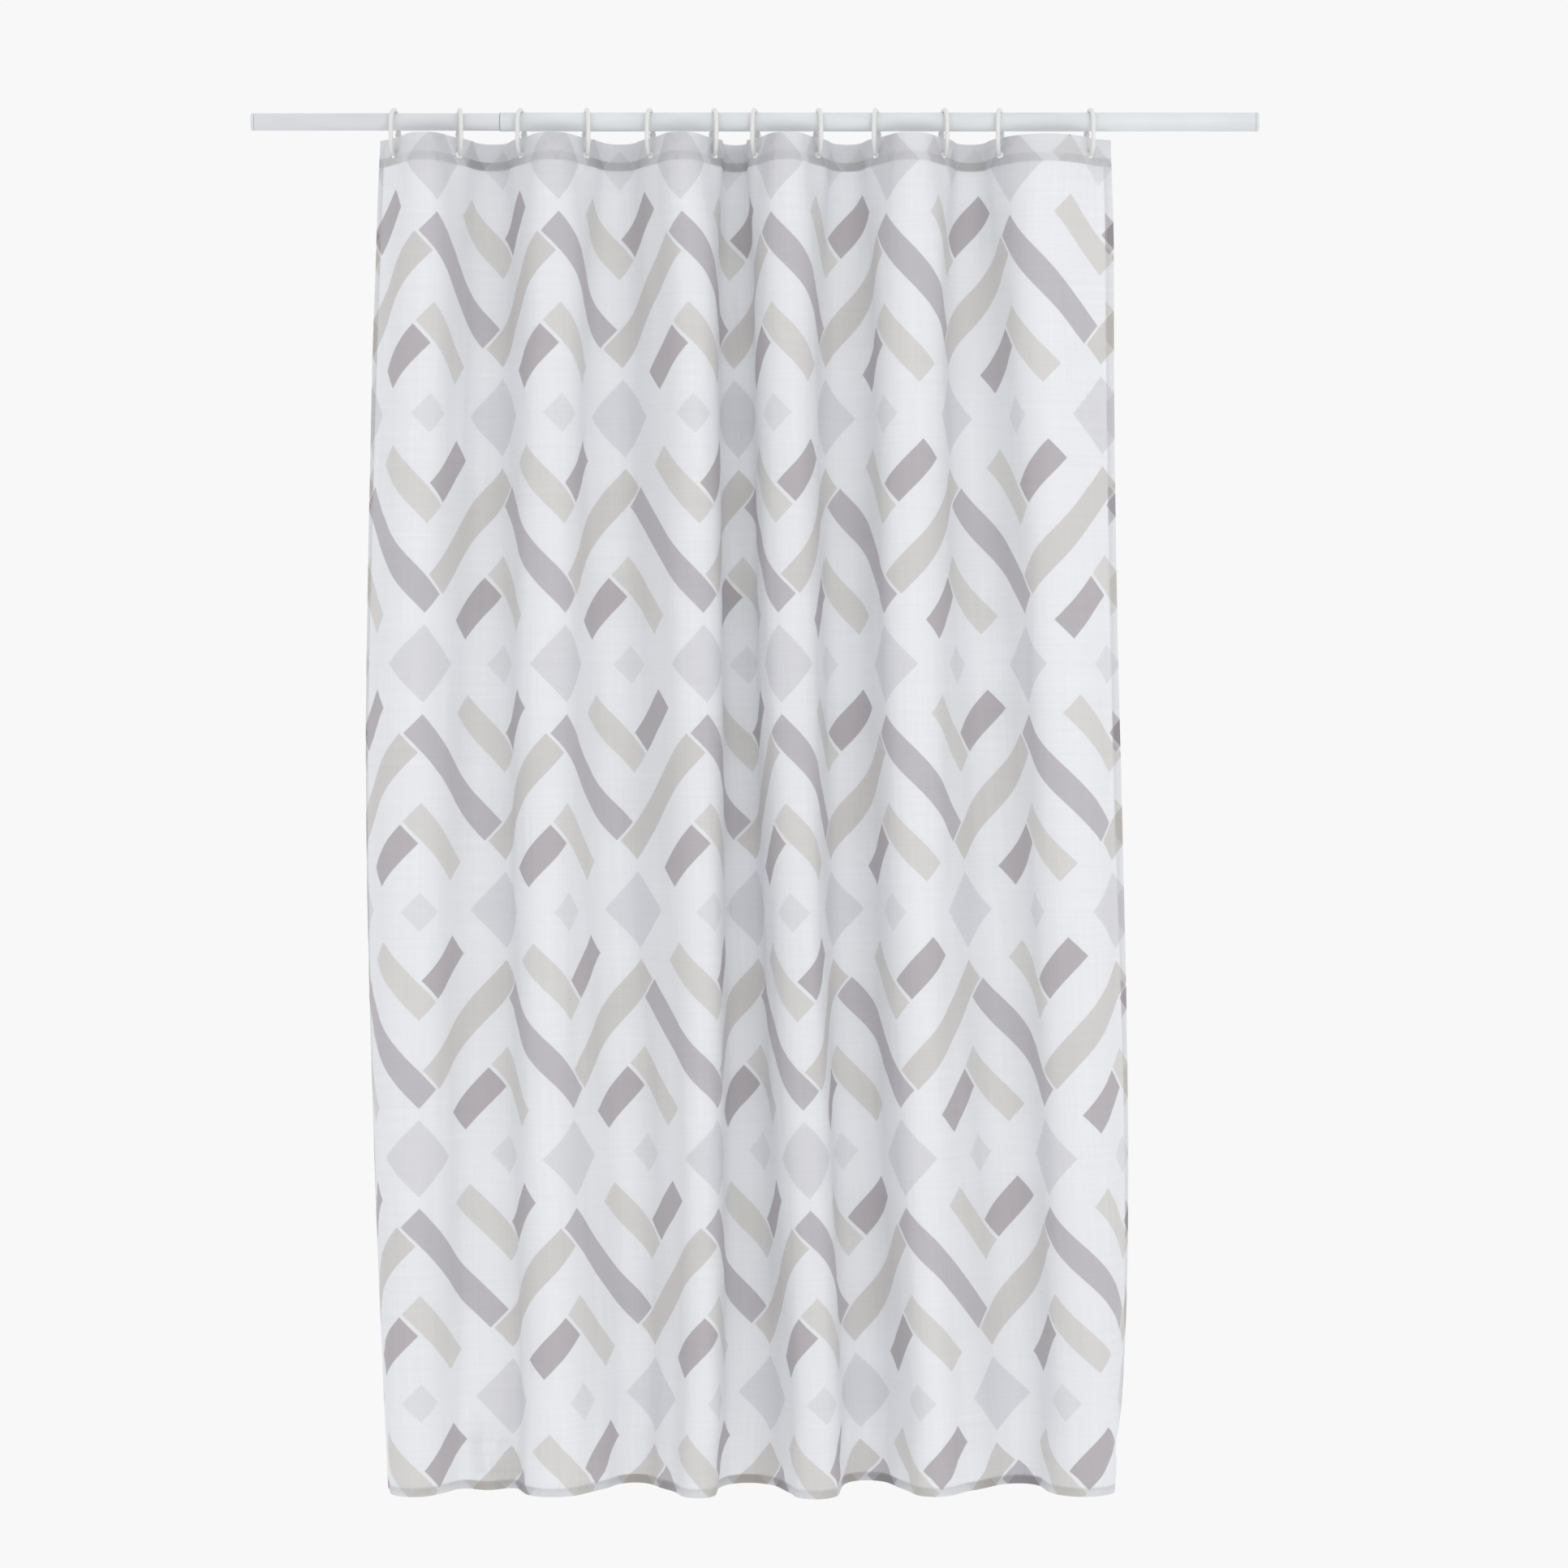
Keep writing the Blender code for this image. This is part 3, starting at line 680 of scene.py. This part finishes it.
# how the folds hang, ring by ring: mm that each fold's flank strays from straight under its ring,
# and mm that it wanders over the flat cloth, at half height and at the hem
hang = {
    "strayHalf": (-25, -10, -10, -5, 15, 10, 15, 5, 10, 10, 45, 30),
    "strayHem": (-10, -10, 5, 20, 30, 10, 45, 35, 45, 45, 70, 40),
    "wanderHalf": (15, 5, -30, -25, -20, -45, -20, -5, 15, -5, 25, 15),
    "wanderHem": (20, 5, -40, -40, -40, -50, -50, -40, -10, -25, -30, -40),
    # degrees that the cloth turns from the rod's line at each flank: where the rings hold it,
    # below that, and at the hem
    "turnTop": 57,
    "turnUpper": (60, 70, 75, 85, 60, 85, 80, 80, 80, 85, 70, 30),
    "turnHem": (80, 60, 75, 55, 55, 85, 75, 85, 70, 45, 80, 85),
    "settled": 0.09,       # share of the drop over which the folds settle from the first to the second
    # and the same for the two side edges, at the top, at half height and at the hem
    "turnLeft": (50, 70, 95),
    "turnRight": (10, 30, 95),
}
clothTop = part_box("curtain_panel")[1][2]
pitch = (curtain["width"] - 2 * curtain["edgeMargin"]) / 11
holesAcross = [curtain["edgeMargin"] + pitch * i for i in range(12)]


def columnPlaces():
    # flat places of the cloth's columns: even within each gap, so that one falls on every hole
    places = list(np.linspace(0, curtain["edgeMargin"], curtain["edgeColumns"] + 1))
    for i in range(11):
        places += list(np.linspace(holesAcross[i], holesAcross[i + 1], curtain["gapColumns"] + 1)[1:])
    places += list(np.linspace(holesAcross[11], curtain["width"], curtain["edgeColumns"] + 1)[1:])
    return np.array(places)


def rowPlaces():
    # flat heights of the panel's rows: close at the head and hem, wider down the middle
    places = [0.0] + [0.003 + 0.005 * k for k in range(10)] + [0.056]
    places += list(np.linspace(0.066, curtain["drop"] - 0.024, 85))
    return places + [curtain["drop"] - 0.006 * k for k in (3, 2, 1, 0)]


def between(values, share):
    # smooth curve through a value at the top, at half height and at the hem
    top, half, hem = values
    fall = 4 * half - 3 * top - hem
    curve = 2 * top + 2 * hem - 4 * half
    return top + fall * share + curve * share * share


def foldTurns(width, length, first, last, steps):
    # headings along one fold that starts at +first and ends at -last, spans the hung width
    # and comes back to the line it left
    phase = (np.arange(steps) + 0.5) / steps * math.pi
    shape = np.array([1.3, 0.0])

    def turns(shape):
        wide, lean = shape
        return (wide * np.cos(phase) + ((first + last) / 2 - wide) * np.cos(3 * phase)
                + ((first - last) / 2 - lean) * np.cos(2 * phase) + lean)

    def misses(shape):
        way = turns(shape)
        return np.array([np.cos(way).mean() - width / length, np.sin(way).mean()])

    for _ in range(30):
        miss = misses(shape)
        if np.abs(miss).max() < 1e-8:
            break
        step = 1e-5
        slope = np.array([(misses(shape + [step, 0]) - miss) / step,
                          (misses(shape + [0, step]) - miss) / step]).T
        shape = shape - np.clip(np.linalg.solve(slope, miss), -0.3, 0.3)
    return turns(shape)


def freeEdge(start, way, turns, length):
    # the run of cloth from the outermost ring to the side edge
    step = length / len(turns)
    x = start + way * np.cumsum(np.cos(turns)) * step
    y = way * np.cumsum(np.sin(turns)) * step
    return list(x), list(y)


def crossSection(share, columns):
    # X, Y and heading of the cloth at each flat column, a share of the way down
    stray = [between((0, a, b), share) for a, b in zip(hang["strayHalf"], hang["strayHem"])]
    wander = [between((0, a, b), share) for a, b in zip(hang["wanderHalf"], hang["wanderHem"])]
    knotX = np.array(ringX) + np.array(stray) * mm
    knotU = np.array(holesAcross) + np.array(wander) * mm
    settled = min(share / hang["settled"], 1.0)
    settled = settled * settled * (3 - 2 * settled)
    upper, lower = np.array(hang["turnUpper"]), np.array(hang["turnHem"])
    below = upper + (lower - upper) * share
    turn = np.radians(hang["turnTop"] + (below - hang["turnTop"]) * settled)
    steps, edgeSteps = 60, 16
    flat, x, y, way = [knotU[0]], [knotX[0]], [0.0], [-turn[0]]
    for i in range(11):
        side = -1 if i % 2 == 0 else 1
        length = knotU[i + 1] - knotU[i]
        turns = side * foldTurns(knotX[i + 1] - knotX[i], length, turn[i], turn[i + 1], steps)
        step = length / steps
        flat += list(knotU[i] + step * np.arange(1, steps + 1))
        x += list(x[-1] + np.cumsum(np.cos(turns)) * step)
        y += list(y[-1] + np.cumsum(np.sin(turns)) * step)
        way += list((turns[1:] + turns[:-1]) / 2) + [-side * turn[i + 1]]
    last = [math.radians(between(hang[side], share)) for side in ("turnLeft", "turnRight")]
    part = (np.arange(edgeSteps) + 0.5) / edgeSteps
    turns = -turn[0] + (turn[0] - last[0]) * part
    edgeX, edgeY = freeEdge(knotX[0], -1, turns, knotU[0])
    flat = list(knotU[0] * (1 - np.arange(edgeSteps, 0, -1) / edgeSteps)) + flat
    x, y, way = edgeX[::-1] + x, edgeY[::-1] + y, list(turns[::-1]) + way
    turns = turn[11] + (last[1] - turn[11]) * part
    free = curtain["width"] - knotU[11]
    edgeX, edgeY = freeEdge(x[-1], 1, turns, free)
    flat += list(knotU[11] + free * np.arange(1, edgeSteps + 1) / edgeSteps)
    x, y, way = x + edgeX, y + edgeY, way + list(turns)
    return [np.interp(columns, flat, line) for line in (x, y, way)]


columns = columnPlaces()
levels = 121
sections = np.array([crossSection(k / (levels - 1), columns) for k in range(levels)])
print("folds worked out, depth %.3f to %.3f" % (sections[:, 1].min(), sections[:, 1].max()))


def waves(u, v, acrossSize, downSize, seed):
    # gentle irregular waves from a few crossing sines, about -1 to 1
    total = 0.0
    for k in range(4):
        lean = 1 if k % 2 == 0 else -1
        total = total + np.sin(u * 2 * math.pi / acrossSize * (0.6 + 0.37 * k)
                               + lean * v * 2 * math.pi / downSize * (0.5 + 0.29 * k)
                               + seed + 1.7 * k) / (2 + 0.6 * k)
    return total


def ripple(u, v):
    # metres that the cloth strays from its smooth folds: soft unevenness, and puckers at the seams
    calm = np.clip((v - 0.04) / 0.15, 0, 1)
    total = waves(u, v, 0.110, 0.95, 0.4) * curtain["unevenness"] * calm
    total = total + waves(u, v, 0.034, 0.30, 2.1) * curtain["unevenness"] * 0.22 * calm
    for seam, reach in ((curtain["topHem"], 0.007), (curtain["drop"] - curtain["bottomHem"], 0.009)):
        near = np.exp(-((v - seam) / reach) ** 2)
        total = total + near * waves(u, v, 0.017, 0.2, seam) * curtain["pucker"]
    return total


def hung(flats):
    # where points of the flat cloth hang: rows of (across, behind, -down) in, places out
    u, off, v = flats[:, 0], flats[:, 1], -flats[:, 2]
    level = np.clip(v / curtain["drop"], 0, 1) * (levels - 1)
    row = np.minimum(level.astype(int), levels - 2)
    column = np.clip(np.searchsorted(columns, u) - 1, 0, len(columns) - 2)
    along = (u - columns[column]) / (columns[column + 1] - columns[column])
    part = (level - row)[:, None]
    along = along[:, None]
    upper, lower = [sections[line, :, column] * (1 - along) + sections[line, :, column + 1] * along
                    for line in (row, row + 1)]
    x, y, way = (upper * (1 - part) + lower * part).T
    off = off + ripple(u, v)
    share = v / curtain["drop"]
    z = clothTop - v - curtain["sag"] * 4 * share * (1 - share)
    return np.stack([x - np.sin(way) * off, y + np.cos(way) * off, z], axis=1)


def hangMesh(piece, source):
    # move a mesh modelled flat, as (across, behind, -down), to where it hangs
    # source says where on the uncut print each flat point was, for plies that were turned over
    mesh = piece.data
    flats = np.empty(len(mesh.vertices) * 3)
    mesh.vertices.foreach_get("co", flats)
    flats = flats.reshape(-1, 3)
    corner = np.empty(len(mesh.loops), int)
    mesh.loops.foreach_get("vertex_index", corner)
    u, v = source(flats[:, 0], -flats[:, 2])
    onPrint = np.stack([u / curtain["width"], 1 - v / curtain["drop"]], axis=1)
    while mesh.uv_layers:
        mesh.uv_layers.remove(mesh.uv_layers[0])
    mesh.uv_layers.new(name="flat").data.foreach_set("uv", onPrint[corner].ravel())
    places = hung(flats)
    mesh.vertices.foreach_set("co", places.ravel())
    # how far back the cloth lies, 0 to 1, read by the front material to paint more shade into the hem
    # bands in the folds' hollows
    fold = mesh.attributes.new("fold", "FLOAT", "POINT")
    fold.data.foreach_set("value", np.clip(places[:, 1] / curtain["foldDepth"] + 0.5, 0, 1))
    mesh.update()


def nearHole(u, v):
    # the nearest hole's outline: foot of the point on its spine, its offset from there and distance
    nearest = min(holesAcross, key=lambda place: abs(place - u))
    across, below = u - nearest, v - curtain["headMargin"]
    straight = (curtain["holeWidth"] - curtain["holeHeight"]) / 2
    foot = min(max(across, -straight), straight)
    return nearest + foot, across - foot, below, math.hypot(across - foot, below)


def makeFlat(name, acrossRun, downRun):
    # a flat grid; each run is a list of (place, how far behind), in metres
    deselectAll()
    wide, high = len(acrossRun) - 1, len(downRun) - 1
    bpy.ops.mesh.primitive_grid_add(x_subdivisions=wide, y_subdivisions=high, size=1)
    piece = newest(name)
    for vertex in piece.data.vertices:
        i = round((vertex.co.x + 0.5) * wide)
        j = round((0.5 - vertex.co.y) * high)
        vertex.co = (acrossRun[i][0], acrossRun[i][1] + downRun[j][1], -downRun[j][0])
    return piece


def cutHoles(piece):
    # open the twelve holes in a flat piece, and draw each opening's edge onto its outline
    radius = curtain["holeHeight"] / 2
    cutPast, drawnFrom = 0.6 * mm, 3.5 * mm
    pick(piece, "FACE", lambda c: nearHole(c.x, -c.z)[3] < radius + cutPast)
    bpy.ops.mesh.delete(type="FACE")
    bpy.ops.mesh.select_mode(type="VERT")
    bpy.ops.mesh.select_non_manifold(extend=False)
    shape = bmesh.from_edit_mesh(piece.data)
    for vertex in shape.verts:
        foot, across, below, reach = nearHole(vertex.co.x, -vertex.co.z)
        if vertex.select and 0 < reach < radius + drawnFrom:
            size = radius / reach
            vertex.co.x = foot + across * size
            vertex.co.z = -(curtain["headMargin"] + below * size)
    bmesh.update_edit_mesh(piece.data)
    bpy.ops.object.mode_set(mode="OBJECT")


def thicken(piece, thickness, materials):
    for material in materials:
        piece.data.materials.append(material)
    applyModifier(piece, "SOLIDIFY", thickness=thickness, offset=0,
                  material_offset=len(materials) - 1, material_offset_rim=len(materials) - 1)
    smoothByAngle(piece, 60)


def makePanel(front, back):
    # the cloth itself: a flat grid, twelve holes cut in its head, hung in its folds, then thickened
    panel = makeFlat("printed_panel", [(u, 0) for u in columns], [(v, 0) for v in rowPlaces()])
    cutHoles(panel)
    hangMesh(panel, lambda u, v: (u, v))
    thicken(panel, curtain["thickness"], (front, back))
    return panel


def hemRun(depth, turn, stops):
    # (place, how far behind) down a hem's outer ply, from the cloth's edge where it parts from the
    # panel, round its folded edge, and back up the raw edge turned under it
    outer, inner = curtain["plyBehind"], curtain["turnedBehind"]
    run = [(0.2 * mm, inner), (0.5 * mm, (outer + inner) / 2), (1.4 * mm, outer)]
    run += [(stop, outer) for stop in stops if 2 * mm < stop < depth - 1.0 * mm]
    run += [(depth - 0.35 * mm, outer), (depth - 0.05 * mm, outer - 0.12 * mm)]
    run += [(depth - 0.05 * mm, inner + 0.12 * mm), (depth - 0.4 * mm, inner)]
    back = [stop for stop in stops if depth - turn + 1 * mm < stop < depth - 1.5 * mm]
    return run + [(stop, inner) for stop in reversed(back)] + [(depth - turn, inner)]


def makeHems(look):
    # the four turned hems behind the panel's edges
    width, drop = curtain["width"], curtain["drop"]
    rows = rowPlaces()
    allAcross = [(u, 0) for u in columns]
    top = makeFlat("top_hem_ply", allAcross, hemRun(curtain["topHem"], curtain["topTurn"], rows))
    cutHoles(top)
    hangMesh(top, lambda u, v: (u, -v))
    run = hemRun(curtain["bottomHem"], curtain["narrowTurn"], (0.006,))
    bottom = makeFlat("bottom_hem_ply", allAcross, [(drop - v, off) for v, off in run])
    hangMesh(bottom, lambda u, v: (u, 2 * drop - v))
    # the side hems run between the top and bottom ones
    first, last = curtain["topHem"] + 0.6 * mm, drop - curtain["bottomHem"] - 0.6 * mm
    allDown = [(v, 0) for v in [first] + [v for v in rows if 0.04 < v < drop - 0.015] + [last]]
    run = hemRun(curtain["sideHem"], curtain["narrowTurn"], (0.004, 0.008))
    left = makeFlat("left_hem_ply", run, allDown)
    hangMesh(left, lambda u, v: (-u, v))
    right = makeFlat("right_hem_ply", [(width - u, off) for u, off in run], allDown)
    hangMesh(right, lambda u, v: (2 * width - u, v))
    for hem in (top, bottom, left, right):
        thicken(hem, curtain["plyThickness"], (look,))
    return top, bottom, left, right


sewing = {                # lengths in mm
    "stitch": 2.6,
    "pitch": 3.4,
    "thread": 0.22,       # radius; the real thread is half as thick, drawn so that it shows
    "proud": 0.08,        # from the panel's front to a stitch's middle
    "behind": 1.12,       # from the panel's middle to the stitches on a hem's ply
    "inset": 1.6,         # from a hem's folded edge to its seam
    "endGap": 4.0,        # from a seam's ends to the cloth's edge or the next hem
    "holeThread": 0.9,    # half width of a buttonhole's border
    "holeBehind": 0.42,   # from the panel's middle to the border's, as it wraps the hem too
    "holeStitches": 58,
}


def repeated(name, mould, shifts):
    # copies of a small mould, modelled once, each moved by a shift on the flat cloth
    shape = np.array([v.co[:] for v in mould.data.vertices])
    faces = [list(f.vertices) for f in mould.data.polygons]
    points = (shape[None] + np.array(shifts)[:, None]).reshape(-1, 3)
    rounds = [[i + k * len(shape) for i in face] for k in range(len(shifts)) for face in faces]
    mesh = bpy.data.meshes.new(name)
    mesh.from_pydata(hung(points).tolist(), [], rounds)
    mesh.shade_smooth()
    return linked(name, mesh)


def stitchMould(along):
    # one lying stitch, a thread with sunk ends
    half, thick = sewing["stitch"] / 2 * mm, sewing["thread"] * mm
    turn = (0, math.pi / 2, 0) if along == "across" else (0, 0, 0)
    deselectAll()
    bpy.ops.mesh.primitive_cylinder_add(
        vertices=6, radius=thick, depth=half, location=(0, 0, 0), rotation=turn)
    mould = newest("stitchMould")
    settle(mould)
    axis = 0 if along == "across" else 2
    for way in (1, -1):
        pick(mould, "FACE", lambda c: abs(c[axis] - way * half / 2) < 1e-6)
        move = [0, 0, 0]
        move[axis] = way * half / 2
        bpy.ops.mesh.extrude_region_move(TRANSFORM_OT_translate={"value": move})
        bpy.ops.transform.resize(value=(0.45, 0.45, 0.45), center_override=tuple(2 * m for m in move))
    bpy.ops.object.mode_set(mode="OBJECT")
    return mould


def makeSeams(look):
    # lines of stitches on both faces, one piece for each hem
    width, drop, step = curtain["width"], curtain["drop"], sewing["pitch"] * mm
    front = -curtain["thickness"] / 2 - sewing["proud"] * mm
    behind = sewing["behind"] * mm
    inset, gap = sewing["inset"] * mm, sewing["endGap"] * mm
    flatLines = {"top_hem_seam": ("across", curtain["topHem"] - inset),
                 "bottom_hem_seam": ("across", drop - curtain["bottomHem"] + inset),
                 "left_hem_seam": ("down", curtain["sideHem"] - inset),
                 "right_hem_seam": ("down", width - curtain["sideHem"] + inset)}
    made = {}
    for name, (way, place) in flatLines.items():
        mould = stitchMould(way)
        # the side seams stop short of the top and bottom ones
        if way == "across":
            low, high = gap, width - gap
        else:
            low, high = curtain["topHem"] + gap + 0.5 * mm, drop - curtain["bottomHem"] - gap
        shifts = []
        for k in range(int((high - low) / step)):
            spot = low + (k + 0.5) * step
            for off in (front, behind):
                lag = 0 if off == front else step / 2
                u, v = (spot + lag, place) if way == "across" else (place, spot + lag)
                shifts.append((u, off, -v))
        made[name] = repeated(name, mould, shifts)
        dress(made[name], look)
        bpy.data.objects.remove(mould)
    return made


def makeButtonhole(name, middle, look):
    # satin stitch round one hole: a torus drawn out to the hole's outline, ridged stitch by stitch
    around = sewing["holeStitches"] * 2
    wide = sewing["holeThread"] * mm
    radius = curtain["holeHeight"] / 2
    straight = curtain["holeWidth"] / 2 - radius
    deselectAll()
    bpy.ops.mesh.primitive_torus_add(location=(0, 0, 0), rotation=(math.pi / 2, 0, 0), major_radius=radius,
                                     minor_radius=wide, major_segments=around, minor_segments=10)
    border = newest(name)
    settle(border)
    arc = math.pi * radius
    lap = 2 * arc + 4 * straight
    places = []
    for vertex in border.data.vertices:
        angle = math.atan2(vertex.co.z, vertex.co.x) % (2 * math.pi)
        count = round(angle / (2 * math.pi) * around)
        ridge = 1.06 if count % 2 == 0 else 0.90
        out = (math.hypot(vertex.co.x, vertex.co.z) - radius) * ridge + 1.15 * wide
        thick = vertex.co.y * 0.75 * ridge + sewing["holeBehind"] * mm
        run = angle / (2 * math.pi) * lap
        # walk the outline from its right end: half the right arc, the top straight, the left arc,
        # the bottom straight, and the right arc's other half
        if run < arc / 2 or run > lap - arc / 2:
            turn = (run if run < arc / 2 else run - lap) / radius
            spine, way = straight, (math.cos(turn), math.sin(turn))
        elif run < arc / 2 + 2 * straight:
            spine, way = straight - (run - arc / 2), (0, 1)
        elif run < arc * 1.5 + 2 * straight:
            turn = (run - arc / 2 - 2 * straight) / radius + math.pi / 2
            spine, way = -straight, (math.cos(turn), math.sin(turn))
        else:
            spine, way = -straight + (run - arc * 1.5 - 2 * straight), (0, -1)
        places.append((middle + spine + way[0] * (radius + out), thick,
                       -curtain["headMargin"] + way[1] * (radius + out)))
    border.data.vertices.foreach_set("co", hung(np.array(places)).ravel())
    smoothByAngle(border, 70)
    dress(border, look)
    return border


chevrons = printGroup()
voileFront = printedVoile("printedPolyesterVoileFront", chevrons, "front")
voileBack = printedVoile("printedPolyesterVoileBack", chevrons, "back")
voileHem = printedVoile("printedPolyesterVoileHem", chevrons, "hem")
seamThread = sewingThread("spunPolyesterThread", "#e6e7ea", "#dadce0")
panel = makePanel(voileFront, voileBack)
print("panel ready,", len(panel.data.polygons), "faces")
hems = makeHems(voileHem)
seams = makeSeams(seamThread)
buttonholes = [makeButtonhole(f"buttonhole_border_{i + 1:02d}", place, seamThread)
               for i, place in enumerate(holesAcross)]
print("hems and sewing ready")

# every piece of the curtain is attached to the curtain body, and the frame node it stands for is hidden;
# nothing here gathers the cloth, which in use gathers towards the last ring as the first is drawn along
# the rod, opening and closing by 0.6 m over the span between those rings
hemNodes = ("top_hem", "bottom_hem", "left_side_hem", "right_side_hem")
onCurtain = [(panel, "curtain_panel", "cloth")]
onCurtain += [(piece, node, "cloth") for piece, node in zip(hems, hemNodes)]
onCurtain += [(piece, None, "thread") for piece in seams.values()]
onCurtain += [(piece, f"buttonhole_{i + 1:02d}", "thread") for i, piece in enumerate(buttonholes)]
for piece, node, slot in onCurtain:
    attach(piece, "curtain")
    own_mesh(piece)
    if node:
        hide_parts(node)
